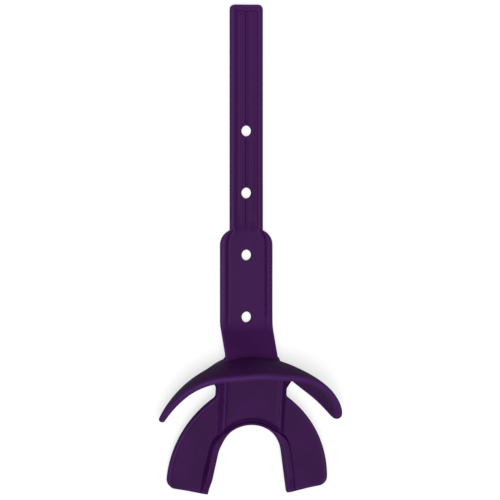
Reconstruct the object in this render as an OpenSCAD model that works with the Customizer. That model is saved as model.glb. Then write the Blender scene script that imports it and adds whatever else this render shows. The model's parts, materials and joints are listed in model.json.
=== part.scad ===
// Strapped mouthguard: a bite tray with a lip shield and a long flat strap with four holes.
// It lies on a table: the strap is flat, and the tray rests on its arm ends and on the shield.
// X points to the wearer's side, +Y along the strap to its tip, +Z up from the table.
// The origin is the middle of the outer size, on the table. Sizes are in millimetres.

/* [Overall] */
// Length from the arm ends to the strap tip
overall_length = 186; // [180:1:192]
// Angle at which the bite tray leans up from the table
tray_lean = 10; // [9:0.5:10]

/* [Strap] */
// Thickness of the strap
strap_thickness = 2.6; // [2.2:0.1:3.2]
// Width of the narrow outer length
narrow_width = 12.8; // [12:0.2:14]
// Width of the wide inner length
wide_width = 20.4; // [19:0.2:22]
// Corner radius at the strap tip
tip_radius = 1.9; // [1:0.1:3]
// Distance from the tip to the top of the wide length
narrow_length = 85.4; // [84:0.2:86.4]
// Corner radius of the shoulders of the wide length
shoulder_radius = 6; // [4:0.5:6]
// Diameter of the fastening holes
hole_diameter = 4.1; // [3.6:0.1:4.6]
// Distance from the tip to the first hole
first_hole = 48; // [46:0.5:50]
// Distance between holes
hole_pitch = 23.6; // [23:0.1:24]
// Distance from the tip to the crease where the strap starts to climb
crease_distance = 122; // [121:0.5:124]
// Slope of the climbing end of the strap
climb_angle = 34; // [30:1:36]

/* [Strap relief] */
// Width of the raised border round the narrow length
border_width = 2.3; // [1.8:0.1:2.8]
// Depth of the field inside the border
field_depth = 0.4; // [0.2:0.1:0.6]
// Width of the line along the middle of the field
line_width = 1; // [0.6:0.1:1.4]
// Distance of the side lines of the wide length from the middle
side_line = 7.6; // [7:0.1:8.4]
// Depth of the lines
line_depth = 0.45; // [0.2:0.05:0.6]

/* [Lip shield] */
// Distance from the arm ends to the centre of the dished shield
shield_centre = 13.8; // [13.4:0.1:14.2]
// Outer radius of the dished shield
shield_radius = 39; // [38.5:0.5:40]
// Thickness of the shield
shield_thickness = 2.6; // [2.2:0.1:3]
// Half of the width across the shield tips
shield_half_width = 36; // [35:0.5:36.5]
// Height of the shield above the middle of the tray floor
shield_rise = 16; // [13:0.5:18]
// Depth of the shield below the middle of the tray floor
shield_drop = 10.1; // [8:0.1:10.1]
// Angle from the middle to the line where each wing bends
wing_angle = 30; // [28:1:32]

/* [Bite tray] */
// Thickness of the tray floor
floor_thickness = 3; // [2.6:0.1:3.4]
// Inner radius of the arch
arch_radius = 13.1; // [12.7:0.1:13.4]
// Distance from the arm ends to the centre of the arch
arch_centre = 13.8; // [13.4:0.1:14.2]
// Angle by which each arm splays out
splay = 10; // [8:1:11]
// Outer radius of the arms
arm_radius = 41.1; // [40.5:0.1:41.7]
// Sideways offset of the centre of that radius
arm_centre_x = -9.6; // [-10:0.1:-9.2]
// Corner radius of the arm ends
arm_corner = 3.6; // [2:0.2:4]
// Half of the width of the neck behind the shield
neck_half_width = 13.8; // [13.4:0.1:14.2]
// Radius at the inner end of the lip slots
slot_radius = 1.9; // [1.2:0.1:2.4]
// Angle on the arch where each arm bends
arm_angle = 33; // [30:1:36]
// Height of the tongue wall above the floor
wall_height = 3.2; // [2.6:0.1:4.6]
// Thickness of the tongue wall
wall_thickness = 2.2; // [1.8:0.1:2.6]
// Distance from the arm ends at which the tongue wall stops
wall_end = 2; // [1:0.5:4]

/* [Bridge pad] */
// Half of the width of the pad
pad_half_width = 10.3; // [9.8:0.1:10.6]
// Height of the pad above the floor
pad_height = 1.6; // [1:0.1:2]
// Gap between the arch and the pad
pad_setback = 2.6; // [2:0.1:3]
// Width of the bead at each side of the pad
bead_width = 1.1; // [0.8:0.1:1.4]
// Height of the beads above the floor
bead_height = 2.2; // [2:0.1:2.6]
// Thickness of the low rim round the front of the arch
rim_thickness = 1.2; // [0.8:0.1:1.6]
// Height of the low rim above the floor
rim_height = 1.3; // [0.8:0.1:2]

/* [Bending places] */
// Distances from the tip to the four bending places of the flat strap
bend_distances = [32, 59.8, 81, 107];
// Clear space in front of a rounded strap end
bend_clearance = 0.4; // [0.3:0.05:0.6]
// Width of the slit that lets an arm or a wing bend
slit = 1.3; // [1.2:0.1:1.6]

/* [Hidden] */
$fn = 96;
far = 100;
moulding = "#3a1c49";
arc_steps = 24;
strap_mid = strap_thickness / 2;
tip_y = overall_length / 2;
rear_y = -overall_length / 2 + floor_thickness * sin(tray_lean);
wide_top_y = tip_y - narrow_length;
crease_y = tip_y - crease_distance;
bend_y = [for (d = bend_distances) tip_y - d];
hole_y = [for (i = [0:3]) tip_y - first_hole - i * hole_pitch];
field_half_width = narrow_width / 2 - border_width;
floor_mid = floor_thickness / 2;
arm_centre_y = 3.9;
pad_top = floor_thickness + pad_height;

// Points along an arc, from one angle to another
function arc(centre, radius, from, to) =
    [for (i = [0:arc_steps])
        let (a = from + (to - from) * i / arc_steps)
        centre + radius * [cos(a), sin(a)]];

// The same points on the other side, in the opposite order
function mirrored(points) = [for (i = [len(points) - 1:-1:0]) [-points[i].x, points[i].y]];

// Places what is drawn flat, with the arm ends at y = 0, on the leaning tray
module on_tray() {
    translate([0, rear_y, 0])
        rotate([tray_lean, 0, 0])
            children();
}

// Half of the plan on the right of a ray from the shield's centre, past the slit
module right_of_ray(angle) {
    translate([0, shield_centre])
        rotate(angle)
            translate([0, -far - slit / 2])
                square([far, far]);
}

// Part of the plan between the same ray and its mirror image
module between_rays(angle) {
    half = [[0, slit / 2 / cos(angle)], far * [cos(angle), sin(angle)] + slit / 2 * [-sin(angle), cos(angle)],
            [0, far]];
    translate([0, shield_centre])
        polygon(concat(half, [mirrored(half)[1]]));
}

// The open space of the arch, grown outwards by a distance
module arch_space(grow) {
    radius = arch_radius + grow;
    leg_foot_x = radius * cos(splay) + (arch_centre + radius * sin(splay) + far) * tan(splay);
    half = concat([[leg_foot_x, -far]], arc([0, arch_centre], radius, splay, 90));
    polygon(concat(half, mirrored(half)));
}

// Plan of the whole bite floor: neck, lip slots, arms with rounded ends, and the arch
module floor_plan() {
    arm_centre = [arm_centre_x, arm_centre_y];
    slot_x = neck_half_width + slot_radius;
    slot_y = arm_centre_y + sqrt(pow(arm_radius + slot_radius, 2) - pow(slot_x - arm_centre_x, 2));
    slot_turn = atan2(slot_y - arm_centre_y, slot_x - arm_centre_x);
    leg_foot = [arch_radius * cos(splay) + (arch_centre + arch_radius * sin(splay)) * tan(splay), 0];
    along = [cos(splay), sin(splay)];
    corner_start = leg_foot + arm_corner * [-sin(splay), cos(splay)] - arm_centre;
    reach = arm_radius - arm_corner;
    b = corner_start * along;
    corner_shift = sqrt(b * b - corner_start * corner_start + reach * reach) - b;
    corner = arm_centre + corner_start + corner_shift * along;
    corner_turn = atan2(corner.y - arm_centre.y, corner.x - arm_centre.x);
    half = concat(
        [[neck_half_width, far]],
        arc([slot_x, slot_y], slot_radius, 180, 180 + slot_turn),
        arc(arm_centre, arm_radius, slot_turn, corner_turn),
        arc(corner, arm_corner, corner_turn, splay - 90),
        [leg_foot]);
    difference() {
        polygon(concat(half, mirrored(half)));
        arch_space(0);
    }
}

// Space inside the dished shield, or out to its outer face
module dish(radius) {
    translate([0, shield_centre, floor_mid])
        sphere(r = radius, $fn = 160);
}

// Front view of the shield: one half ellipse up and a flatter one down
module shield_front_view() {
    polygon([for (a = [0:5:355])
        [shield_half_width * cos(a), (a < 180 ? shield_rise : shield_drop) * sin(a)]]);
}

// The whole shield as one dished wall
module shield_wall() {
    intersection() {
        difference() {
            dish(shield_radius);
            dish(shield_radius - shield_thickness);
        }
        translate([0, shield_centre + far, floor_mid])
            rotate([90, 0, 0])
                linear_extrude(far)
                    shield_front_view();
    }
}

// A layer of the tray between two heights, inside the shield
module tray_layer(bottom, height) {
    on_tray()
        intersection() {
            translate([0, 0, bottom])
                linear_extrude(height)
                    children();
            dish(shield_radius - shield_thickness);
        }
}

module bite_floor_front() {
    color(moulding)
        tray_layer(0, floor_thickness)
            intersection() {
                floor_plan();
                between_rays(arm_angle);
            }
}

module bridge_pad() {
    color(moulding)
        tray_layer(floor_thickness, pad_height)
            difference() {
                translate([-pad_half_width, arch_centre])
                    square([2 * pad_half_width, far]);
                translate([0, arch_centre])
                    circle(r = arch_radius + pad_setback);
            }
}

// Bead at the right side of the pad, with a round top
module bridge_bead_right() {
    bead_start = arch_centre + sqrt(pow(arch_radius + pad_setback, 2) - pow(pad_half_width, 2));
    bead_radius = bead_width / 2;
    color(moulding)
        on_tray()
            intersection() {
                translate([pad_half_width, bead_start + far, floor_thickness])
                    rotate([90, 0, 0])
                        linear_extrude(far) {
                            square([bead_width, bead_height - bead_radius]);
                            translate([bead_radius, bead_height - bead_radius])
                                circle(r = bead_radius, $fn = 32);
                        }
                dish(shield_radius - shield_thickness);
            }
}

module bridge_bead_left() {
    mirror([1, 0, 0])
        bridge_bead_right();
}

module tongue_rim_front() {
    color(moulding)
        tray_layer(floor_thickness, rim_height)
            intersection() {
                difference() {
                    arch_space(rim_thickness);
                    arch_space(0);
                }
                between_rays(arm_angle);
            }
}

module lip_shield_centre() {
    color(moulding)
        on_tray()
            intersection() {
                shield_wall();
                translate([0, 0, -far / 2])
                    linear_extrude(far)
                        between_rays(90 - wing_angle);
            }
}

module lip_shield_wing_right() {
    color(moulding)
        on_tray()
            intersection() {
                shield_wall();
                translate([0, 0, -far / 2])
                    linear_extrude(far)
                        right_of_ray(90 - wing_angle);
            }
}

module lip_shield_wing_left() {
    mirror([1, 0, 0])
        lip_shield_wing_right();
}

module bite_arm_right() {
    color(moulding)
        tray_layer(0, floor_thickness)
            intersection() {
                floor_plan();
                right_of_ray(arm_angle);
            }
}

module bite_arm_left() {
    mirror([1, 0, 0])
        bite_arm_right();
}

module tongue_wall_right() {
    color(moulding)
        tray_layer(floor_thickness, wall_height)
            intersection() {
                difference() {
                    arch_space(wall_thickness);
                    arch_space(0);
                }
                right_of_ray(arm_angle);
                translate([0, wall_end])
                    square([far, far]);
            }
}

module tongue_wall_left() {
    mirror([1, 0, 0])
        tongue_wall_right();
}

// A round end across the strap, which the next length bends on
module round_end(y, width) {
    translate([-width / 2, y, strap_mid])
        rotate([0, 90, 0])
            cylinder(h = width, r = strap_mid);
}

// A flat length of strap with a square start and a round end
module strap_length(start_y, end_y, width) {
    first = start_y + strap_mid + bend_clearance;
    translate([-width / 2, first, 0])
        cube([width, end_y - first, strap_thickness]);
    round_end(end_y, width);
}

module strap_hole(y) {
    translate([0, y, -1])
        cylinder(h = strap_thickness + 2, d = hole_diameter);
}

// The sunk field of the narrow length, between two places along the strap
module narrow_field(start_y, end_y) {
    translate([-field_half_width, start_y, strap_thickness - field_depth])
        cube([2 * field_half_width, end_y - start_y, strap_thickness]);
}

// A shallow line cut along the strap
module strap_line(x, start_y, end_y, width, depth) {
    translate([x - width / 2, start_y, strap_thickness - depth])
        cube([width, end_y - start_y, strap_thickness]);
}

// The line along the middle of the narrow field stops short of the holes
module middle_line(start_y, end_y) {
    strap_line(0, start_y, end_y, line_width, field_depth + line_depth);
}

// The two lines of the wide length
module side_lines(start_y, end_y) {
    for (side = [-1, 1])
        strap_line(side * side_line, start_y, end_y, line_width / 2, line_depth);
}

// The end of the strap that climbs from the crease to the shield
module strap_root() {
    color(moulding)
        difference() {
            translate([0, crease_y, strap_mid])
                rotate([-climb_angle, 0, 0])
                    translate([-wide_width / 2, -wide_width - strap_mid - bend_clearance, -strap_mid])
                        cube([wide_width, wide_width, strap_thickness]);
            on_tray()
                dish(shield_radius);
        }
}

// This length is round at both ends, because the hole is close to the crease
module strap_wide_lower() {
    color(moulding)
        difference() {
            union() {
                round_end(crease_y, wide_width);
                translate([-wide_width / 2, crease_y, 0])
                    cube([wide_width, bend_y[3] - crease_y, strap_thickness]);
                round_end(bend_y[3], wide_width);
            }
            strap_hole(hole_y[3]);
            side_lines(crease_y - strap_mid, bend_y[3] + strap_mid);
        }
}

module strap_wide_upper() {
    line_top_y = wide_top_y - shoulder_radius;
    hole_gap = hole_diameter / 2 + 1;
    color(moulding)
        difference() {
            union() {
                intersection() {
                    strap_length(bend_y[3], bend_y[2], wide_width);
                    linear_extrude(strap_thickness) {
                        translate([-wide_width / 2, bend_y[3]])
                            square([wide_width, line_top_y - bend_y[3]]);
                        for (side = [-1, 1])
                            translate([side * (wide_width / 2 - shoulder_radius), line_top_y])
                                circle(r = shoulder_radius);
                        translate([shoulder_radius - wide_width / 2, line_top_y])
                            square([wide_width - 2 * shoulder_radius, shoulder_radius]);
                    }
                }
                strap_length(line_top_y, bend_y[2], narrow_width);
            }
            strap_hole(hole_y[2]);
            side_lines(bend_y[3], line_top_y);
            narrow_field(wide_top_y, bend_y[2] + strap_thickness);
            middle_line(hole_y[2] + hole_gap, bend_y[2] + strap_thickness);
        }
}

// A narrow length of strap with one hole
module narrow_with_hole(start_y, end_y, hole) {
    hole_gap = hole_diameter / 2 + 1;
    difference() {
        strap_length(start_y, end_y, narrow_width);
        strap_hole(hole);
        narrow_field(start_y, end_y + strap_thickness);
        middle_line(start_y, hole - hole_gap);
        middle_line(hole + hole_gap, end_y + strap_thickness);
    }
}

module strap_narrow_lower() {
    color(moulding)
        narrow_with_hole(bend_y[2], bend_y[1], hole_y[1]);
}

module strap_narrow_upper() {
    color(moulding)
        narrow_with_hole(bend_y[1], bend_y[0], hole_y[0]);
}

module strap_tail() {
    start_y = bend_y[0] + strap_mid + bend_clearance;
    corner_x = narrow_width / 2 - tip_radius;
    color(moulding)
        difference() {
            linear_extrude(strap_thickness) {
                translate([-narrow_width / 2, start_y])
                    square([narrow_width, tip_y - tip_radius - start_y]);
                translate([-corner_x, tip_y - 2 * tip_radius])
                    square([2 * corner_x, 2 * tip_radius]);
                for (side = [-1, 1])
                    translate([side * corner_x, tip_y - tip_radius])
                        circle(r = tip_radius);
            }
            narrow_field(bend_y[0], tip_y - border_width);
            middle_line(bend_y[0], tip_y - border_width);
        }
}

bite_floor_front();
bridge_pad();
bridge_bead_left();
bridge_bead_right();
tongue_rim_front();
lip_shield_centre();
strap_root();
lip_shield_wing_left();
lip_shield_wing_right();
bite_arm_left();
bite_arm_right();
tongue_wall_left();
tongue_wall_right();
strap_wide_lower();
strap_wide_upper();
strap_narrow_lower();
strap_narrow_upper();
strap_tail();
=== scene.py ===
# %% [markdown]
# # A strapped sports mouthguard
# The real object is one soft moulding: a U-shaped bite tray, a dished lip shield across its front,
# and a long flat strap that fastens to a helmet. Nothing is screwed or glued on. The model keeps that:
# its pieces are skins that meet edge to edge, so the eye sees one moulding, and each skin crosses no
# more than one bending place.

# %% Load the frame
import json
import math

import bmesh
import bpy
import numpy as np
from mathutils import Matrix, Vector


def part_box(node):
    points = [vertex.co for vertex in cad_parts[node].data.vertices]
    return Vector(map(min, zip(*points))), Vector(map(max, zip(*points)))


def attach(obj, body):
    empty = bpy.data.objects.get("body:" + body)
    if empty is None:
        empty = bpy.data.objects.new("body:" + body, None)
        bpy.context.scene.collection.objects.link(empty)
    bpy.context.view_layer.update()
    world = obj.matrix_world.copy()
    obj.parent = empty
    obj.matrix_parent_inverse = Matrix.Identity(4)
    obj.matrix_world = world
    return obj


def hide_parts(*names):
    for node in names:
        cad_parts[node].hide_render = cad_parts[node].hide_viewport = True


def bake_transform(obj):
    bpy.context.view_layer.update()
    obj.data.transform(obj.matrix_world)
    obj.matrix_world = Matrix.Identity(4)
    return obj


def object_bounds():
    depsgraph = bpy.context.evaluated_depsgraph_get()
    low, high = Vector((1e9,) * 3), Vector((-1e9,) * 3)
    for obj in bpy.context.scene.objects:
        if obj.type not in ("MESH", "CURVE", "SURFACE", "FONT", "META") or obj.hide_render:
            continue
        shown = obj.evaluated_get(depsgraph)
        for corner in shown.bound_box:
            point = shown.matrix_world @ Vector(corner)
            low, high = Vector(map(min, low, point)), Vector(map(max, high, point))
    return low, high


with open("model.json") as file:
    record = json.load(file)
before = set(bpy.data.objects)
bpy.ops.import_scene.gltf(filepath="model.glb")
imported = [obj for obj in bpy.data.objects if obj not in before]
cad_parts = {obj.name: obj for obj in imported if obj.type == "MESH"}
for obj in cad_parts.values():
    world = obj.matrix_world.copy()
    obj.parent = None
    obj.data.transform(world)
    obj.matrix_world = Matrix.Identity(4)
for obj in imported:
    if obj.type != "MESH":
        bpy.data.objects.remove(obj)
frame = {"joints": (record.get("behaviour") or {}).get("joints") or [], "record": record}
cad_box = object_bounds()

MM = 0.001
print("CAD box in mm:", [[round(c / MM, 1) for c in corner] for corner in cad_box])

# %% [markdown]
# ## Measures from the frame
# Every place comes from the CAD model. Boxes give the strap's sizes, the mounts give the four holes,
# and the joints give the lines about which the moulding bends. The tray leans up from the table, and
# the axis of a wing's joint points along its height, so that axis gives the angle of lean.

# %% Read the frame's measures, in millimetres
JOINTS = {j["name"]: j for j in frame["joints"]}


def high(node):
    return np.array(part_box(node)[1]) / MM


def joint_place(name):
    return np.array(JOINTS[name]["pos_m"]) / MM


THICK = high("strap_tail")[2]
TIP_Y = high("strap_tail")[1]
NARROW = high("strap_tail")[0]
WIDE = high("strap_wide_lower")[0]
CREASE_Y = joint_place("strap_root_bend")[1]
HOLES = sorted(m["pos_m"][1] / MM for m in frame["record"]["mounts"])
HOLE_RADIUS = frame["record"]["mounts"][0]["dims"]["r_mm"]
TRAY_UP = np.array(JOINTS["right_wing_flex"]["axis"])
LEAN = math.atan2(-TRAY_UP[1], TRAY_UP[2])
FLOOR = 3.0  # thickness of the tray's floor
REAR_Y = cad_box[0][1] / MM + FLOOR * math.sin(LEAN)
print("strap", round(2 * WIDE, 1), "and", round(2 * NARROW, 1), "mm wide")
print("tray leans up by", round(math.degrees(LEAN), 1), "degrees")

# %% [markdown]
# ## Two sheets make a moulding
# Each skin is two grids of points, an upper and a lower face, joined round the edge. A moulding has no
# sharp edge, so both faces draw in near the border: `round_off` says by how much at a distance from it.
# Doing it in the mesh, and not with a bevel, keeps the radius even along a curved border.

# %% Mesh helpers
MEETING = 2e-6  # points closer than this, in metres, become one
SHARP = math.radians(50)  # an edge that turns more than this stays crisp


def smooth(low_end, high_end, value):
    t = np.clip((value - low_end) / (high_end - low_end), 0, 1)
    return t * t * (3 - 2 * t)


def round_off(distance, radius):
    inside = radius - np.clip(distance, 0, radius)
    return radius - np.sqrt(np.maximum(radius * radius - inside * inside, 0))


def clustered(count):
    return 0.5 - 0.5 * np.cos(np.linspace(0, math.pi, count))


def sheet_faces(rows, cols, start):
    at = start + np.arange(rows * cols).reshape(rows, cols)
    return np.stack([at[:-1, :-1], at[1:, :-1], at[1:, 1:], at[:-1, 1:]], -1).reshape(-1, 4)


def border(rows, cols):
    at = np.arange(rows * cols).reshape(rows, cols)
    return np.concatenate([at[0, :], at[1:, -1], at[-1, -2::-1], at[-2:0:-1, 0]])


def moulded(name, upper, lower, wear_and_highlight):
    """Two sheets and the wall between their borders, as one closed skin."""
    rows, cols = upper.shape[:2]
    ring = border(rows, cols)
    after = np.roll(ring, -1)
    count = rows * cols
    wall = np.stack([ring, after, after + count, ring + count], -1)
    faces = np.concatenate([sheet_faces(rows, cols, 0), sheet_faces(rows, cols, count), wall])
    points = np.concatenate([upper.reshape(-1, 3), lower.reshape(-1, 3)])
    mesh = bpy.data.meshes.new(name)
    mesh.from_pydata(points.tolist(), [], faces.tolist())
    # Each point's share of the paler colour: edge wear plus a painted highlight on rounded borders and
    # beads.
    mark = mesh.attributes.new("wear_and_highlight", "FLOAT", "POINT")
    mark.data.foreach_set("value", np.tile(wear_and_highlight.reshape(-1), 2).astype(np.float32))
    return mesh


def close_up(mesh):
    """Merges points that meet, turns faces outwards and smooths all but true edges."""
    work = bmesh.new()
    work.from_mesh(mesh)
    bmesh.ops.remove_doubles(work, verts=work.verts, dist=MEETING)
    bmesh.ops.dissolve_degenerate(work, edges=work.edges, dist=MEETING)
    bmesh.ops.recalc_face_normals(work, faces=work.faces)
    work.to_mesh(mesh)
    work.free()
    mesh.shade_smooth()
    mesh.set_sharp_from_angle(angle=SHARP)


def piece_of(name, mesh):
    piece = bpy.data.objects.new(name, mesh)
    bpy.context.scene.collection.objects.link(piece)
    print(name, len(mesh.vertices), "points,", len(mesh.polygons), "faces")
    return piece


def finished(name, upper, lower, wear_and_highlight):
    mesh = moulded(name, upper * MM, lower * MM, wear_and_highlight)
    close_up(mesh)
    return piece_of(name, mesh)


def through_tree(piece, tree, settings):
    """Runs a node tree on a piece and leaves a plain mesh with no modifier."""
    step = piece.modifiers.new("shape", "NODES")
    step.node_group = tree
    inputs = [item for item in tree.interface.items_tree if item.in_out == "INPUT"]
    sockets = {item.name: item.identifier for item in inputs}
    for key, value in settings.items():
        step[sockets[key]] = value
    count = len(piece.data.polygons)
    shown = piece.evaluated_get(bpy.context.evaluated_depsgraph_get())
    mesh = bpy.data.meshes.new_from_object(shown)
    piece.modifiers.remove(step)
    piece.data = mesh
    close_up(mesh)
    print(piece.name, "shaped by", tree.name + ":", count, "faces became", len(mesh.polygons))
    return piece


# %% [markdown]
# ## The colour and finish of soft vinyl
# A mouthguard is injection moulded from EVA or soft vinyl with the pigment in the melt, so the colour
# goes right through and only the surface changes: a satin skin from a fine blasted mould, faint flow
# clouds in the pigment, and draw lines along the strap. The strap is a little glossier than the tray.
# Each part's colours are also scaled for how the lamp falls on it: painted light on the strap and the
# shield, painted shade on the tray.
# Borders are painted paler, partly edge wear and partly a painted highlight where the rounded border
# catches the light, and the tray's beads carry a painted highlight along their crests. Each skin carries
# that as a number on its points.

# %% Material helpers
def linear(hex_colour, painted_light_scale=1.0):
    """An sRGB colour as linear light, times a scale that paints light (above 1) and shade (below 1) into
    it.
    """
    parts = [int(hex_colour[i:i + 2], 16) / 255 for i in (1, 3, 5)]
    light = [c / 12.92 if c <= 0.04045 else ((c + 0.055) / 1.055) ** 2.4 for c in parts]
    return [painted_light_scale * part for part in light] + [1.0]


def add_node(tree, kind, settings=None, inputs=None):
    node = tree.nodes.new(kind)
    for key, value in (settings or {}).items():
        setattr(node, key, value)
    for key, value in (inputs or {}).items():
        if isinstance(value, bpy.types.NodeSocket):
            tree.links.new(value, node.inputs[key])
        else:
            node.inputs[key].default_value = value
    return node


def soft_vinyl(name, painted_light_scale, stretch, roughness_low, roughness_high, grain_depth):
    material = bpy.data.materials.new(name)
    material.use_nodes = True
    tree = material.node_tree
    skin = tree.nodes["Principled BSDF"]
    place = add_node(tree, "ShaderNodeTexCoord").outputs["Object"]
    drawn = add_node(tree, "ShaderNodeMapping", inputs={"Vector": place, "Scale": stretch})
    clouds = add_node(tree, "ShaderNodeTexNoise",
                      inputs={"Vector": drawn.outputs[0], "Scale": CLOUD_SCALE, "Detail": 4.0})
    pigment = add_node(tree, "ShaderNodeValToRGB", inputs={"Fac": clouds.outputs["Fac"]})
    ramp = pigment.color_ramp
    ramp.elements[0].position = CLOUD_EDGES[0]
    # Both cloud colours are scaled: painted light where the scale is above 1, painted shade below it.
    ramp.elements[0].color = linear(DEEP, painted_light_scale)
    ramp.elements[1].position = CLOUD_EDGES[1]
    ramp.elements[1].color = linear(BRIGHT, painted_light_scale)
    # Paler where a skin's number says so: edge wear plus a painted highlight on rounded borders and beads.
    edges = add_node(tree, "ShaderNodeAttribute", {"attribute_name": "wear_and_highlight"}).outputs["Fac"]
    worn_and_lit = add_node(tree, "ShaderNodeMath", {"operation": "MULTIPLY"}, {0: edges, 1: WEAR_AND_HIGHLIGHT_SHARE})
    colour = add_node(tree, "ShaderNodeMix", {"data_type": "RGBA"},
                      {0: worn_and_lit.outputs[0], 6: pigment.outputs[0], 7: linear(WEAR_AND_HIGHLIGHT_COLOUR, painted_light_scale)})
    grain = add_node(tree, "ShaderNodeTexNoise",
                     inputs={"Vector": place, "Scale": GRAIN_SCALE, "Detail": 3.0})
    lines = add_node(tree, "ShaderNodeTexNoise",
                     inputs={"Vector": drawn.outputs[0], "Scale": LINE_SCALE, "Detail": 2.0})
    height = add_node(tree, "ShaderNodeMath", {"operation": "MULTIPLY_ADD"},
                      {0: lines.outputs["Fac"], 1: LINE_SHARE, 2: grain.outputs["Fac"]})
    bump = add_node(tree, "ShaderNodeBump",
                    inputs={"Height": height.outputs[0], "Strength": BUMP, "Distance": grain_depth * MM})
    gloss = add_node(tree, "ShaderNodeMapRange",
                     inputs={"Value": clouds.outputs["Fac"], "From Min": 0.3, "From Max": 0.7,
                             "To Min": roughness_low, "To Max": roughness_high})
    tree.links.new(colour.outputs[2], skin.inputs["Base Color"])
    tree.links.new(gloss.outputs[0], skin.inputs["Roughness"])
    tree.links.new(bump.outputs[0], skin.inputs["Normal"])
    skin.inputs["IOR"].default_value = VINYL_IOR
    skin.inputs["Specular IOR Level"].default_value = SATIN
    return material


# %% Mix the three finishes
DEEP = "#330c41"
BRIGHT = "#3c104c"
# The paler colour of borders and beads: edge wear plus a painted highlight.
WEAR_AND_HIGHLIGHT_COLOUR = "#4b2464"
CLOUD_EDGES = (0.32, 0.70)
# How far borders and beads go towards that paler colour: edge wear plus a painted highlight.
WEAR_AND_HIGHLIGHT_SHARE = 0.5
CLOUD_SCALE = 1 / (9 * MM)
GRAIN_SCALE = 1 / (0.35 * MM)
LINE_SCALE = 1 / (0.8 * MM)
LINE_SHARE = 0.6
BUMP = 0.35
VINYL_IOR = 1.48
SATIN = 0.12
ALONG_STRAP = (1.0, 0.08, 1.0)
EVEN = (1.0, 1.0, 1.0)
# The strap: clouds and lines drawn out along it by the flow, and the smoothest skin. Its colours are
# painted lighter: painted light.
STRAP_VINYL = soft_vinyl("injection_moulded_vinyl_strap", 1.12, ALONG_STRAP, 0.50, 0.60, 0.06)
# The tray: the most matt, from the coarsest blasting, so the teeth can grip. Its colours are painted
# darkest: painted shade, for the lamp falling more weakly on it.
TRAY_VINYL = soft_vinyl("injection_moulded_vinyl_tray", 0.94, EVEN, 0.54, 0.64, 0.09)
# The shield: a satin skin between the two, which shows its dishing as a soft shine. Its colours are
# painted lighter: painted light.
SHIELD_VINYL = soft_vinyl("injection_moulded_vinyl_shield", 1.1, EVEN, 0.50, 0.60, 0.07)
print("finishes:", ", ".join(m.name for m in (STRAP_VINYL, TRAY_VINYL, SHIELD_VINYL)))

# %% [markdown]
# ## The bite tray
# The tray's plan is a few arcs: the arch that the tongue sits in, a wide arc outside each arm, a neck
# behind the shield, and the slots where the lips go, round at both corners. A point's height follows
# its place: a tongue wall
# along the arch, a raised pad with a bead at each side, and a fillet where the floor meets the shield.
# Lines across the tray fan out from the arch, so the grid follows the wall all the way round.

# %% The tray's plan
ARCH_RADIUS = 13.1
ARCH_CENTRE = 13.8
SPLAY = math.radians(10)
ARM_RADIUS = 41.1
ARM_CENTRE = np.array([-9.6, 3.9])
ARM_CORNER = 3.6
NECK = 13.8
SLOT_RADIUS = 1.9
SHIELD_OUTER = 39.0
SHIELD_CENTRE = 13.8
SHIELD_THICK = 2.6
SHIELD_INNER = SHIELD_OUTER - SHIELD_THICK
PLATE_REACH = SHIELD_INNER + 1.0
MID_FLOOR = FLOOR / 2
HALVINGS = 40

slot_x = NECK + SLOT_RADIUS
slot_y = ARM_CENTRE[1] + math.sqrt((ARM_RADIUS + SLOT_RADIUS) ** 2 - (slot_x - ARM_CENTRE[0]) ** 2)
JOIN_RADIUS = 3.4
JOIN_X = NECK + JOIN_RADIUS
JOIN_Y = SHIELD_CENTRE + math.sqrt((SHIELD_INNER - JOIN_RADIUS) ** 2 - JOIN_X ** 2)
SLOT_TURN = math.atan2(slot_y - ARM_CENTRE[1], slot_x - ARM_CENTRE[0])
LEG_TOP = np.array([ARCH_RADIUS * math.cos(SPLAY), ARCH_CENTRE + ARCH_RADIUS * math.sin(SPLAY)])
LEG_DOWN = np.array([math.sin(SPLAY), -math.cos(SPLAY)])
LEG_OUT = np.array([math.cos(SPLAY), math.sin(SPLAY)])
LEG_LENGTH = LEG_TOP[1] / math.cos(SPLAY)
LEG_FOOT = LEG_TOP + LEG_LENGTH * LEG_DOWN
corner_start = LEG_FOOT - ARM_CORNER * LEG_DOWN - ARM_CENTRE
corner_b = corner_start @ LEG_OUT
corner_reach = ARM_RADIUS - ARM_CORNER
corner_shift = math.sqrt(corner_b ** 2 - corner_start @ corner_start + corner_reach ** 2) - corner_b
CORNER = ARM_CENTRE + corner_start + corner_shift * LEG_OUT


def border_distance(x, y):
    """How far a point of the plan is inside the free border, not counting the arch."""
    x = np.abs(x)
    arm = ARM_RADIUS - np.hypot(x - ARM_CENTRE[0], y - ARM_CENTRE[1])
    neck = NECK - x
    inside = np.where(y > slot_y, neck, np.where(y > ARCH_CENTRE, np.maximum(arm, neck), arm))
    turn = np.arctan2(slot_y - y, slot_x - x)
    to_slot = np.hypot(x - slot_x, y - slot_y)
    in_fillet = (turn >= 0) & (turn <= SLOT_TURN) & (to_slot < 4 * SLOT_RADIUS)
    inside = np.where(in_fillet, to_slot - SLOT_RADIUS, inside)
    at_join = (y > JOIN_Y) & (x < JOIN_X + JOIN_RADIUS / 2)
    inside = np.where(at_join, np.hypot(x - JOIN_X, y - JOIN_Y) - JOIN_RADIUS, inside)
    end = (LEG_FOOT[0] - x) * LEG_DOWN[0] + (LEG_FOOT[1] - y) * LEG_DOWN[1]
    across = (x - CORNER[0]) * LEG_OUT[0] + (y - CORNER[1]) * LEG_OUT[1]
    along = (x - CORNER[0]) * LEG_DOWN[0] + (y - CORNER[1]) * LEG_DOWN[1]
    corner = ARM_CORNER - np.hypot(across, along)
    inside = np.where((across > 0) & (along > 0), np.minimum(corner, inside), inside)
    return np.minimum(inside, end)


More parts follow.
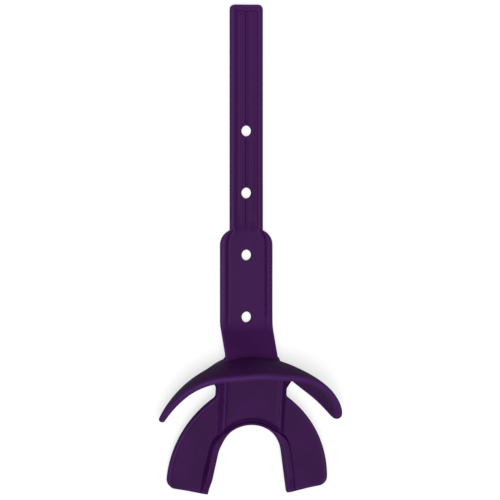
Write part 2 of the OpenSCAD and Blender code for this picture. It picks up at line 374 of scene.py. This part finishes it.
def reach(start, direction):
    """How far each line across the tray runs before it meets the border or the shield."""
    near, far = np.full(len(start), 3.0), np.full(len(start), 40.0)
    for _ in range(HALVINGS):
        middle = (near + far) / 2
        point = start + middle[:, None] * direction
        shield = PLATE_REACH - np.hypot(point[:, 0], point[:, 1] - SHIELD_CENTRE)
        free = np.minimum(border_distance(point[:, 0], point[:, 1]), shield) > 0
        near, far = np.where(free, middle, near), np.where(free, far, middle)
    return near


print("arm corner at", CORNER.round(1), "slot at", round(slot_x, 1), round(slot_y, 1))

# %% The tray's heights
PAD_HALF = high("bridge_pad")[0]
PAD_HEIGHT = 1.6
PAD_SETBACK = 2.6
BEAD_HEIGHT = 2.2
BEAD_HALF = 0.7
BEAD_X = PAD_HALF + BEAD_HALF
PAD_SLOPE = (3.0, 0.3)
FILLET = 2.4
EDGE_ROUND = 0.9
SAG = 0.45
LIP_RISE = 0.25
WALL_SLOPE = (-0.2, 0.9)
WALL_CREST = 0.3


def shield_fillet(x, y, z):
    gap = SHIELD_INNER - np.sqrt(x ** 2 + (y - SHIELD_CENTRE) ** 2 + (z - MID_FLOOR) ** 2)
    return round_off(gap, FILLET)


def tray_top(x, y, from_arch, wall_height, wall_thick):
    rim = border_distance(x, y)
    across = from_arch / np.maximum(from_arch + rim, 0.1)
    z = FLOOR - SAG * np.sin(math.pi * np.clip(across, 0, 1)) * smooth(2, 6, rim + from_arch)
    z = z + LIP_RISE * (1 - smooth(0.6, 2.2, rim)) * smooth(36, 33, y)
    side = np.abs(x)
    on_pad = smooth(BEAD_X + PAD_SLOPE[0], BEAD_X + PAD_SLOPE[1], side)
    on_pad = on_pad * smooth(-1.3, 0.7, from_arch - PAD_SETBACK)
    z = z + (FLOOR + PAD_HEIGHT - z) * on_pad
    bead_end = smooth(PAD_SETBACK - 1.4, PAD_SETBACK + 0.6, from_arch)
    z = z + (BEAD_HEIGHT - PAD_HEIGHT) * np.exp(-((side - BEAD_X) / BEAD_HALF) ** 2) * bead_end
    wall = wall_height * (1 - smooth(wall_thick + WALL_SLOPE[0], wall_thick + WALL_SLOPE[1], from_arch))
    crest = WALL_CREST * np.exp(-((z - FLOOR - wall) / 0.5) ** 2) * smooth(0.5, 3, wall)
    z = np.maximum(z, FLOOR + wall) + crest
    return z + shield_fillet(x, y, z)


def on_tray(x, y, z):
    """Tray places, with the arm ends at y = 0, turned into row places on the leaning tray."""
    return np.stack([x, REAR_Y + y * math.cos(LEAN) - z * math.sin(LEAN),
                     y * math.sin(LEAN) + z * math.cos(LEAN)], -1)


# %% Grow the tray's skins from the arch
FAN_SPLIT = math.radians(48)
ACROSS = clustered(104)
RIM_WALL = (1.3, 0.9)  # height and thickness of the wall at the front of the arch
TALLER, THICKER = 1.85, 1.7  # what each gains on its way to the legs
END_FADE = 0.55


def tray_skin(name, turns, legs, side):
    """One skin: lines at these turns round the arch, then at these distances down the leg."""
    out = np.stack([np.cos(turns), np.sin(turns)], -1)
    start = [0, ARCH_CENTRE] + ARCH_RADIUS * out
    start = np.concatenate([start, LEG_TOP + legs[:, None] * LEG_DOWN])
    out = np.concatenate([out, np.repeat([LEG_OUT], len(legs), 0)])
    from_front = np.abs(np.concatenate([turns, np.full(len(legs), SPLAY)]) - math.pi / 2)
    down = np.concatenate([np.zeros(len(turns)), legs])
    rise = smooth(math.radians(32), math.radians(66), from_front)
    fade = 1 - END_FADE * smooth(LEG_LENGTH - 7, LEG_LENGTH - 1, down)
    wall_height = (RIM_WALL[0] + TALLER * rise) * fade
    wall_thick = RIM_WALL[1] + THICKER * rise
    length = reach(start, out)
    from_arch = ACROSS[None, :] * length[:, None]
    x = start[:, :1] + from_arch * out[:, :1]
    y = start[:, 1:] + from_arch * out[:, 1:]
    rim = border_distance(x, y)
    z = tray_top(x, y, from_arch, wall_height[:, None], wall_thick[:, None])
    corner = np.hypot(EDGE_ROUND - np.clip(rim, 0, EDGE_ROUND),
                      EDGE_ROUND - np.clip(from_arch, 0, EDGE_ROUND))
    drawn_in = round_off(EDGE_ROUND - np.minimum(corner, EDGE_ROUND), EDGE_ROUND)
    top = z - drawn_in
    bottom = drawn_in - shield_fillet(x, y, np.zeros_like(x))
    # Paler tray borders: edge wear plus a painted highlight where the rounded edge catches the light.
    wear_and_highlight = smooth(1.3, 0.4, rim) + smooth(0.9, 0.3, from_arch)
    # The beads get a painted highlight along their crests.
    on_bead = np.exp(-((np.abs(x) - BEAD_X) / BEAD_HALF) ** 2) * smooth(ARCH_CENTRE, 20, y)
    wear_and_highlight = wear_and_highlight + 0.7 * on_bead
    return finished(name, on_tray(side * x, y, top), on_tray(side * x, y, bottom), np.clip(wear_and_highlight, 0, 1))


front_turns = np.linspace(FAN_SPLIT, math.pi - FAN_SPLIT, 230)
arm_turns = np.linspace(FAN_SPLIT, SPLAY, 60)
leg_steps = LEG_LENGTH * np.sin(np.linspace(0, math.pi / 2, 72))[1:]
tray_front = tray_skin("tray_front", front_turns, np.zeros(0), 1)
tray_right = tray_skin("tray_arm_right", arm_turns, leg_steps, 1)
tray_left = tray_skin("tray_arm_left", arm_turns, leg_steps, -1)

# %% [markdown]
# ## The lip shield
# The shield is a wall of even thickness cut from a hollow ball, so it dishes both ways and lies along
# the gums. From the front it is an ellipse, taller above the tray than below. Its skins are two sheets
# on the ball, drawn in near the outline so the rim is round, as a moulding's is. Towards the
# wings the wall flares: its upper edge opens outwards, which leaves room for the cheeks, and its lower
# edge tucks in under the lip.

# %% Build the tree that dishes a flat blank
RISE = 16.0
DROP = 10.1
SHIELD_MID = SHIELD_OUTER - SHIELD_THICK / 2
SHRINK = SHIELD_MID / SHIELD_OUTER
HALF_WIDTH = high("lip_shield_wing_right")[0] * SHRINK
FLARE = 0.28
TUCK = 0.5
FLARE_FROM, FLARE_TO = 5.0, 27.0
DISH_INPUTS = ("Half Width", "Rise", "Drop", "Ball", "Flare", "Tuck", "Flare From", "Flare To",
               "Lean", "Centre Y", "Centre Z")


def dishing_tree(material):
    """A blank has its turn in X, its share of the height in Y and its depth in the wall in Z."""
    tree = bpy.data.node_groups.new("dish_over_ball", "GeometryNodeTree")
    face = tree.interface
    face.new_socket("Blank", in_out="INPUT", socket_type="NodeSocketGeometry")
    for name in DISH_INPUTS:
        face.new_socket(name, in_out="INPUT", socket_type="NodeSocketFloat")
    face.new_socket("Shield", in_out="OUTPUT", socket_type="NodeSocketGeometry")
    given = add_node(tree, "NodeGroupInput").outputs

    def step(operation, *values):
        node = add_node(tree, "ShaderNodeMath", {"operation": operation}, dict(enumerate(values)))
        return node.outputs[0]

    place = add_node(tree, "GeometryNodeInputPosition").outputs[0]
    blank = add_node(tree, "ShaderNodeSeparateXYZ", inputs={0: place}).outputs
    x = step("MULTIPLY", given["Half Width"], step("SINE", blank["X"]))
    tall = step("ADD", given["Rise"], given["Drop"])
    share = step("SUBTRACT", step("MULTIPLY", tall, blank["Y"]), given["Drop"])
    h = step("MULTIPLY", step("COSINE", blank["X"]), share)
    flat = step("MULTIPLY_ADD", x, x, step("MULTIPLY", h, h))
    deep = step("SQRT", step("SUBTRACT", step("MULTIPLY", given["Ball"], given["Ball"]), flat))
    out = add_node(tree, "ShaderNodeMapRange", {"interpolation_type": "SMOOTHSTEP"},
                   {"Value": step("ABSOLUTE", x), "From Min": given["Flare From"],
                    "From Max": given["Flare To"]})
    above = step("MULTIPLY", step("MAXIMUM", h, 0.0), given["Flare"])
    below = step("MULTIPLY", step("MINIMUM", h, 0.0), given["Tuck"])
    opened = step("MULTIPLY", step("ADD", above, below), out.outputs[0])
    radius = step("ADD", given["Ball"], blank["Z"])
    wide = step("DIVIDE", step("ADD", radius, opened), given["Ball"])
    dished = add_node(tree, "ShaderNodeCombineXYZ",
                      inputs={"X": step("MULTIPLY", x, wide), "Y": step("MULTIPLY", deep, wide),
                              "Z": step("DIVIDE", step("MULTIPLY", h, radius), given["Ball"])})
    leaned = add_node(tree, "ShaderNodeVectorRotate", {"rotation_type": "X_AXIS"},
                      {"Vector": dished.outputs[0], "Angle": given["Lean"]})
    centre = add_node(tree, "ShaderNodeCombineXYZ",
                      inputs={"Y": given["Centre Y"], "Z": given["Centre Z"]})
    moved = add_node(tree, "ShaderNodeVectorMath", {"operation": "ADD"},
                     {0: leaned.outputs[0], 1: centre.outputs[0]})
    scaled = add_node(tree, "ShaderNodeVectorMath", {"operation": "SCALE"},
                      {0: moved.outputs[0], "Scale": MM})
    shaped = add_node(tree, "GeometryNodeSetPosition",
                      inputs={"Geometry": given["Blank"], "Position": scaled.outputs[0]})
    whole = add_node(tree, "GeometryNodeRealizeInstances", inputs={"Geometry": shaped.outputs[0]})
    coated = add_node(tree, "GeometryNodeSetMaterial",
                      inputs={"Geometry": whole.outputs[0], "Material": material})
    add_node(tree, "NodeGroupOutput", inputs={0: coated.outputs[0]})
    print(tree.name, "has", len(tree.nodes), "nodes")
    return tree


# %% Cut the blanks and dish them
RIM_ROUND = 1.15
WING_SPLIT = math.radians(20)
HEIGHTS = clustered(52)
BALL = on_tray(np.array(0.0), np.array(SHIELD_CENTRE), np.array(MID_FLOOR))
DISHING = dishing_tree(SHIELD_VINYL)
DISH_SIZES = {"Half Width": HALF_WIDTH, "Rise": RISE * SHRINK, "Drop": DROP * SHRINK,
              "Ball": SHIELD_MID, "Flare": FLARE, "Tuck": TUCK,
              "Flare From": FLARE_FROM, "Flare To": FLARE_TO, "Lean": LEAN,
              "Centre Y": float(BALL[1]), "Centre Z": float(BALL[2])}


def rim_distance(x, h):
    """How far a point of the blank is inside the shield's outline, measured over the ball."""
    tall = np.where(h > 0, RISE, DROP) * SHRINK
    ring = np.sqrt((x / HALF_WIDTH) ** 2 + (h / tall) ** 2)
    bend = np.sqrt(np.maximum(1 - (x / SHIELD_MID) ** 2, 0.01))
    slope = np.hypot(x / HALF_WIDTH ** 2 * bend, h / tall ** 2) / np.maximum(ring, 0.05)
    return np.where(ring > 0.3, (1 - ring) / np.maximum(slope, 0.005), SHIELD_MID)


def shield_skin(name, turns):
    """One skin of the shield, between two turns along its width."""
    turn = turns[:, None] + 0 * HEIGHTS[None, :]
    share = HEIGHTS[None, :] + 0 * turns[:, None]
    h = np.cos(turn) * ((RISE + DROP) * share - DROP) * SHRINK
    rim = rim_distance(HALF_WIDTH * np.sin(turn), h)
    half = SHIELD_THICK / 2 - round_off(rim, RIM_ROUND)
    upper, lower = np.stack([turn, share, half], -1), np.stack([turn, share, -half], -1)
    # The last value paints the shield's rim paler: edge wear plus a painted highlight on the rounded rim.
    blank = piece_of(name, moulded(name, upper, lower, smooth(2.2, 0.8, rim)))
    return through_tree(blank, DISHING, DISH_SIZES)


shield_centre = shield_skin("shield_centre", np.linspace(-WING_SPLIT, WING_SPLIT, 110))
wing_turns = WING_SPLIT + (math.pi / 2 - WING_SPLIT) * np.sin(np.linspace(0, math.pi / 2, 110))
shield_right = shield_skin("shield_wing_right", wing_turns)
shield_left = shield_skin("shield_wing_left", -wing_turns)

# %% [markdown]
# ## The strap
# The strap is a flat ribbon with relief: a wide length with a line near each side, round shoulders, and
# a narrow length whose border stands above a sunk field with a line down its middle. It is laid out
# flat first. Then the end beyond the crease is bent up to the shield, as one bends a ribbon.

# %% The strap's outline and relief
TIP_RADIUS = 1.9
SHOULDER = 6.0
NARROW_LENGTH = 85.4
BORDER = 2.3
SHOULDER_Y = TIP_Y - NARROW_LENGTH - SHOULDER
FIELD_HALF = NARROW - BORDER
FIELD_START = SHOULDER_Y + SHOULDER + 0.4
FIELD_END = TIP_Y - 2.4
FIELD_DEPTH = 0.42
LINE_DEPTH = 0.5
SIDE_LINE = 7.6
STRAP_ROUND = 0.6
FIELD_SIDE = 0.35  # half of the slope at the field's border
GROOVE, GROOVE_IN = 0.12, 0.55  # a shallow groove, this far inside the border
CROWN, CROWN_HALF, CROWN_MOST = 0.16, 1.1, 0.2  # how the border's top rounds over
MIDDLE_HALF, SIDE_LINE_HALF = 0.52, 0.3
RIDGE, RIDGE_OUT, RIDGE_HALF = 0.18, 1.1, 0.6  # a ridge outside each side line
WIDE_SUNK, TOP_GAP = 0.16, 0.02
CORE = 4.6  # half of the strip whose grid lines run straight from crease to tip


def half_width(y):
    shoulder = WIDE - SHOULDER + np.sqrt(np.maximum(SHOULDER ** 2 - np.maximum(y - SHOULDER_Y, 0) ** 2, 0))
    shoulder = np.where(y > SHOULDER_Y + SHOULDER, 0, shoulder)
    softness = 0.35
    gap = np.clip(0.5 + (shoulder - NARROW) / (2 * softness), 0, 1)
    body = NARROW * (1 - gap) + shoulder * gap + softness * gap * (1 - gap)
    past_corner = np.maximum(y - TIP_Y + TIP_RADIUS, 0)
    return body - TIP_RADIUS + np.sqrt(np.maximum(TIP_RADIUS ** 2 - past_corner ** 2, 0))


def strap_top(x, y):
    """Height of the strap's upper face over the table."""
    side = np.abs(x)
    narrow = smooth(SHOULDER_Y + 2, SHOULDER_Y + SHOULDER + 1.5, y)
    inside = np.minimum(FIELD_HALF - side, np.minimum((y - FIELD_START) / 6, FIELD_END - y))
    groove = GROOVE * np.exp(-((inside - GROOVE_IN) / FIELD_SIDE) ** 2)
    field = FIELD_DEPTH * smooth(-FIELD_SIDE, FIELD_SIDE, inside) + groove
    crown = CROWN * ((side - (NARROW + FIELD_HALF) / 2) / CROWN_HALF) ** 2
    crown = np.where(inside < 0, np.minimum(crown, CROWN_MOST), 0) * narrow
    from_hole = np.min([np.abs(y - hole) for hole in HOLES], 0)
    runs = smooth(HOLE_RADIUS + 0.3, HOLE_RADIUS + 1.4, from_hole)
    middle = LINE_DEPTH * np.exp(-(x / MIDDLE_HALF) ** 4) * runs * smooth(-0.2, 0.8, inside)
    fade = smooth(CREASE_Y - 6, CREASE_Y + 6, y) * smooth(SHOULDER_Y + 7.2, SHOULDER_Y + 3, y)
    line = LINE_DEPTH * np.exp(-((side - SIDE_LINE) / SIDE_LINE_HALF) ** 2) * fade
    ridge = RIDGE * np.exp(-((side - SIDE_LINE - RIDGE_OUT) / RIDGE_HALF) ** 2) * fade
    return THICK - TOP_GAP - WIDE_SUNK * fade - field - crown - middle - line + ridge


def marks(places, spread):
    return [p + d for p in places for d in (-2 * spread, -spread, 0, spread, 2 * spread)]


def steps(start, end, step, extra):
    even = np.linspace(start, end, max(int(round((end - start) / step)), 2) + 1)
    inside = [e for e in extra if start < e < end]
    points = np.unique(np.round(np.concatenate([even, inside]), 3))
    keep = np.concatenate([[True], np.diff(points) > 0.04])
    points = points[keep]
    points[-1] = end
    return points


# %% Bend the ribbon at the crease
BEND_RADIUS = 6.0
CLIMB = math.radians(34)
BEND_START = CREASE_Y + BEND_RADIUS * math.tan(CLIMB / 2)
ROOT_FILLET = 2.2


def bent(x, y, z):
    """Where a point of the flat strap goes once the strap is bent up at the crease."""
    past = np.maximum(BEND_START - y, 0)
    turn = np.minimum(past / BEND_RADIUS, CLIMB)
    straight = np.maximum(past - BEND_RADIUS * CLIMB, 0)
    height = z - THICK / 2
    back = BEND_RADIUS * np.sin(turn) + straight * math.cos(CLIMB) + height * np.sin(turn)
    up = BEND_RADIUS * (1 - np.cos(turn)) + straight * math.sin(CLIMB) + height * np.cos(turn)
    new_y = np.where(past > 0, BEND_START - back, y)
    return np.stack([x, new_y, THICK / 2 + np.where(past > 0, up, height)], -1)


def strap_skin(start, end):
    sides = [FIELD_HALF, 0.25, 0.5, 0.75, SIDE_LINE]
    edge = WIDE if start < SHOULDER_Y else NARROW
    ends = [edge - d for d in (0.03, 0.1, 0.2, 0.35, 0.5, 0.65)]
    right = steps(0, edge, 0.45, marks(sides, 0.12) + ends)
    flat = np.concatenate([-right[:0:-1], right])
    tip = [TIP_Y - d for d in (0.02, 0.06, 0.15, 0.3, 0.5, 0.75, 1.0, 1.3)]
    along = steps(start, end, 0.5, marks([FIELD_START, FIELD_END, SHOULDER_Y + 5.6], 0.15) + tip)
    y = along[:, None] + 0 * flat[None, :]
    stretch = (half_width(y) - CORE) / (edge - CORE)
    away = np.abs(flat)
    x = np.sign(flat) * np.where(away > CORE, CORE + (away - CORE) * stretch, away)
    relief = strap_top(np.where(y < SHOULDER_Y + SHOULDER, flat * WIDE / edge, x), y)
    past_side = np.maximum(np.abs(x) - (NARROW - TIP_RADIUS), 0)
    past_end = np.maximum(y - (TIP_Y - TIP_RADIUS), 0)
    at_tip = TIP_RADIUS - np.hypot(past_side, past_end)
    rim = np.where(y > TIP_Y - TIP_RADIUS, at_tip, half_width(y) - np.abs(x))
    drawn_in = round_off(rim, STRAP_ROUND)
    # The last value paints the strap's border paler: edge wear plus a painted highlight on the rounded
    # edge.
    return x, y, relief - drawn_in, drawn_in, smooth(1.0, 0.3, rim)


def flat_skin(name, start, end):
    x, y, top, bottom, wear_and_highlight = strap_skin(start, end)
    return finished(name, np.stack([x, y, top], -1), np.stack([x, y, bottom], -1), wear_and_highlight)


def root_skin(name, end):
    """The skin that climbs to the shield: its last line lies inside the shield's wall."""
    start = CREASE_Y - 24
    x, y, top, bottom, wear_and_highlight = strap_skin(start, end)
    middle = bent(x, y, np.full_like(x, THICK / 2))
    gap = np.sqrt(((middle - BALL) ** 2).sum(-1)) - SHIELD_MID
    for row in range(x.shape[1]):
        past = np.where(gap[:, row] > 0)[0]
        first = np.interp(0, gap[past[0] - 1:past[0] + 1, row], y[past[0] - 1:past[0] + 1, row])
        y[:, row] = first + (y[:, row] - start) * (end - first) / (end - start)
    middle = bent(x, y, np.full_like(x, THICK / 2))
    gap = np.sqrt(((middle - BALL) ** 2).sum(-1)) - SHIELD_OUTER
    grow = round_off(gap, ROOT_FILLET)
    x = x * (1 + 0.35 * grow / WIDE)
    return finished(name, bent(x, y, top + grow), bent(x, y, bottom - 0.5 * grow), wear_and_highlight)


# %% [markdown]
# ## Holes punched by one row of pins
# The four holes are the same pin, repeated at even steps. Geometry Nodes repeats it: a line of points,
# a pin on each, and one cut through the strap. Each pin flares where it meets a face, so the edge of a
# hole is round, as a moulded one is. A skin that has no hole simply misses the pins.

# %% Make the pin and the punching tree
LIP = 0.3


def make_pin(name, floor_z, roof_z):
    """A turned pin, wider by a quarter round above the roof and below the floor."""
    swing = np.linspace(0, math.pi / 2, 7)
    lower = [(HOLE_RADIUS + LIP * (1 - math.sin(a)), floor_z + LIP * (1 - math.cos(a))) for a in swing]
    upper = [(HOLE_RADIUS + LIP * (1 - math.cos(a)), roof_z - LIP * (1 - math.sin(a))) for a in swing]
    profile = [(HOLE_RADIUS + LIP, floor_z - 2)] + lower + upper + [(HOLE_RADIUS + LIP, roof_z + 2)]
    turns = np.linspace(0, 2 * math.pi, 64, endpoint=False)
    ring = np.stack([np.cos(turns), np.sin(turns)], -1)
    points = [[r * c * MM, r * s * MM, z * MM] for r, z in profile for c, s in ring]
    count = len(turns)
    faces = []
    for row in range(len(profile) - 1):
        under, over = row * count, (row + 1) * count
        faces += [[under + i, under + (i + 1) % count, over + (i + 1) % count, over + i]
                  for i in range(count)]
    top_ring = (len(profile) - 1) * count
    faces += [list(range(count))[::-1], list(range(top_ring, top_ring + count))]
    mesh = bpy.data.meshes.new(name)
    mesh.from_pydata(points, [], faces)
    work = bmesh.new()
    work.from_mesh(mesh)
    bmesh.ops.recalc_face_normals(work, faces=work.faces)
    work.to_mesh(mesh)
    work.free()
    return bpy.data.objects.new(name, mesh)


def punching_tree(pin, material):
    tree = bpy.data.node_groups.new("punch_holes", "GeometryNodeTree")
    face = tree.interface
    face.new_socket("Strap", in_out="INPUT", socket_type="NodeSocketGeometry")
    face.new_socket("First Hole", in_out="INPUT", socket_type="NodeSocketFloat")
    face.new_socket("Pitch", in_out="INPUT", socket_type="NodeSocketFloat")
    face.new_socket("Count", in_out="INPUT", socket_type="NodeSocketInt")
    face.new_socket("Strap", in_out="OUTPUT", socket_type="NodeSocketGeometry")
    given = add_node(tree, "NodeGroupInput")
    begin = add_node(tree, "ShaderNodeCombineXYZ", inputs={"Y": given.outputs["First Hole"]})
    step = add_node(tree, "ShaderNodeCombineXYZ", inputs={"Y": given.outputs["Pitch"]})
    line = add_node(tree, "GeometryNodeMeshLine", {"mode": "OFFSET"},
                    {"Count": given.outputs["Count"], "Start Location": begin.outputs[0],
                     "Offset": step.outputs[0]})
    shape = add_node(tree, "GeometryNodeObjectInfo", inputs={"Object": pin})
    pins = add_node(tree, "GeometryNodeInstanceOnPoints",
                    inputs={"Points": line.outputs[0], "Instance": shape.outputs["Geometry"]})
    real = add_node(tree, "GeometryNodeRealizeInstances", inputs={"Geometry": pins.outputs[0]})
    cut = add_node(tree, "GeometryNodeMeshBoolean", {"operation": "DIFFERENCE", "solver": "EXACT"},
                   {"Mesh 1": given.outputs["Strap"]})
    tree.links.new(real.outputs[0], cut.inputs["Mesh 2"])
    whole = add_node(tree, "GeometryNodeRealizeInstances", inputs={"Geometry": cut.outputs[0]})
    coated = add_node(tree, "GeometryNodeSetMaterial",
                      inputs={"Geometry": whole.outputs[0], "Material": material})
    add_node(tree, "NodeGroupOutput", inputs={0: coated.outputs[0]})
    return tree


# %% Cut the ribbon into skins and punch them
SEAMS = {"root": -20.5, "wide": 1.0, "shoulder": 25.0, "narrow": 49.0}
wide_pin = make_pin("wide_pin", 0.0, THICK - 0.18)
narrow_pin = make_pin("narrow_pin", 0.0, THICK - FIELD_DEPTH)
wide_punch = punching_tree(wide_pin, STRAP_VINYL)
narrow_punch = punching_tree(narrow_pin, STRAP_VINYL)
ROW = {"First Hole": HOLES[0] * MM, "Pitch": (HOLES[1] - HOLES[0]) * MM, "Count": len(HOLES)}
strap_1 = through_tree(root_skin("strap_climb", SEAMS["root"]), wide_punch, ROW)
strap_2 = through_tree(flat_skin("strap_wide", SEAMS["root"], SEAMS["wide"]), wide_punch, ROW)
strap_3 = through_tree(flat_skin("strap_shoulders", SEAMS["wide"], SEAMS["shoulder"]), narrow_punch, ROW)
strap_4 = through_tree(flat_skin("strap_narrow", SEAMS["shoulder"], SEAMS["narrow"]), narrow_punch, ROW)
strap_5 = flat_skin("strap_end", SEAMS["narrow"], TIP_Y)
for pin in (wide_pin, narrow_pin):
    bpy.data.objects.remove(pin)

# %% [markdown]
# ## Hanging the skins on the frame
# A skin that lies on one body rides on it. A skin that crosses a bending place only has its place
# baked into its points: it is tied to no body and does not bend. Seams lie where both neighbours
# belong to the same body.

# %% Materials, slots and bodies
def across_joint(piece):
    """Bakes the piece's place into its points; nothing blends it over a joint."""
    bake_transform(piece)


def dress(piece, material, *nodes):
    piece.data.materials.clear()
    piece.data.materials.append(material)
    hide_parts(*nodes)


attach(tray_front, "mouthpiece")
dress(tray_front, TRAY_VINYL, "bite_floor_front", "bridge_pad", "bridge_bead_left", "bridge_bead_right",
      "tongue_rim_front")
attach(shield_centre, "mouthpiece")
dress(shield_centre, SHIELD_VINYL, "lip_shield_centre")

for side, name, arm, wing in ((1, "right", tray_right, shield_right), (-1, "left", tray_left, shield_left)):
    dress(arm, TRAY_VINYL, f"bite_arm_{name}", f"tongue_wall_{name}")
    dress(wing, SHIELD_VINYL, f"lip_shield_wing_{name}")
    across_joint(arm)
    across_joint(wing)

# Each strap skin: its joint, the turning lengths before and after it, and the CAD nodes it stands for.
STRAP_PLAN = ((strap_1, "strap_root_bend", 4.0, 1.0, ("strap_root", "strap_wide_lower")),
              (strap_2, "strap_wide_bend", 5.5, 6.0, ("strap_wide_upper",)),
              (strap_3, "strap_shoulder_bend", 6.0, 6.5, ("strap_narrow_lower",)),
              (strap_4, "strap_narrow_bend", 7.0, 7.0, ("strap_narrow_upper",)),
              (strap_5, "strap_tail_bend", 9.0, 9.0, ("strap_tail",)))
for piece, joint, before, after, nodes in STRAP_PLAN:
    dress(piece, STRAP_VINYL, *nodes)
    across_joint(piece)

# %% [markdown]
# ## Table, light and camera
# The mouthguard lies on a plain pale table. One large soft lamp hangs almost overhead, a little towards
# the arms and to the left, so faces that turn up towards the strap go dark, and a weak even room light
# fills the rest. The table glows softly and throws no light back, so dark vinyl keeps its depth.
# The camera looks down from the left, so the inside of the right wing shows beside its rim.

# %% Build the stage
def turn_to(thing, place, aim):
    ahead = np.array(aim, float) - np.array(place, float)
    ahead /= np.linalg.norm(ahead)
    right = np.cross(ahead, [0, 1, 0])
    right /= np.linalg.norm(right)
    up = np.cross(right, ahead)
    basis = [[right[i], up[i], -ahead[i], place[i]] for i in range(3)] + [[0, 0, 0, 1]]
    thing.matrix_world = Matrix(basis)


TABLE_HALF = 3.0
TABLE_GAP = 0.2 * MM
TABLE_GLOW = 0.68
ROOM_LIGHT = 0.30
corners = [(-TABLE_HALF, -TABLE_HALF, 0), (TABLE_HALF, -TABLE_HALF, 0),
           (TABLE_HALF, TABLE_HALF, 0), (-TABLE_HALF, TABLE_HALF, 0)]
table_mesh = bpy.data.meshes.new("table")
table_mesh.from_pydata(corners, [], [(0, 1, 2, 3)])
table = bpy.data.objects.new("table", table_mesh)
table.location.z = -TABLE_GAP
bpy.context.scene.collection.objects.link(table)
paper = bpy.data.materials.new("matt_white_table")
paper.use_nodes = True
paper_skin = paper.node_tree.nodes["Principled BSDF"]
paper_skin.inputs["Base Color"].default_value = linear("#a0a0a0")
paper_skin.inputs["Roughness"].default_value = 0.9
paper_skin.inputs["Specular IOR Level"].default_value = 0.0
paper_skin.inputs["Emission Color"].default_value = linear("#ffffff")
paper_skin.inputs["Emission Strength"].default_value = TABLE_GLOW
table_mesh.materials.append(paper)
table.visible_diffuse = False
table.visible_glossy = False

world = bpy.data.worlds.new("soft_room")
world.use_nodes = True
room = world.node_tree.nodes["Background"]
room.inputs["Color"].default_value = linear("#ffffff")
room.inputs["Strength"].default_value = ROOM_LIGHT
bpy.context.scene.world = world


def soft_sun(name, towards, angle, power):
    """A wide, even lamp in a direction: the angle in degrees softens its shadows."""
    data = bpy.data.lights.new(name, "SUN")
    data.energy = power
    data.angle = math.radians(angle)
    lamp = bpy.data.objects.new(name, data)
    bpy.context.scene.collection.objects.link(lamp)
    turn_to(lamp, np.array(towards), (0, 0, 0))


soft_sun("key", (-0.22, -0.2, 1.0), 30, 2.4)

CAMERA_ROLL = math.radians(15)
CAMERA_AHEAD = math.radians(2)
CAMERA_FAR = 1.6
SENSOR = 36
VIEW_HEIGHT = 0.190
aim = np.array([0.0006, -0.0002, 0.0045])
eye = aim + CAMERA_FAR * np.array([-math.sin(CAMERA_ROLL), math.sin(CAMERA_AHEAD) * math.cos(CAMERA_ROLL),
                                   math.cos(CAMERA_ROLL) * math.cos(CAMERA_AHEAD)])
camera_data = bpy.data.cameras.new("camera")
camera_data.sensor_width = SENSOR
camera_data.lens = SENSOR * CAMERA_FAR / VIEW_HEIGHT
camera = bpy.data.objects.new("camera", camera_data)
bpy.context.scene.collection.objects.link(camera)
turn_to(camera, eye, aim)
bpy.context.scene.camera = camera
bpy.context.scene.view_settings.view_transform = "Standard"
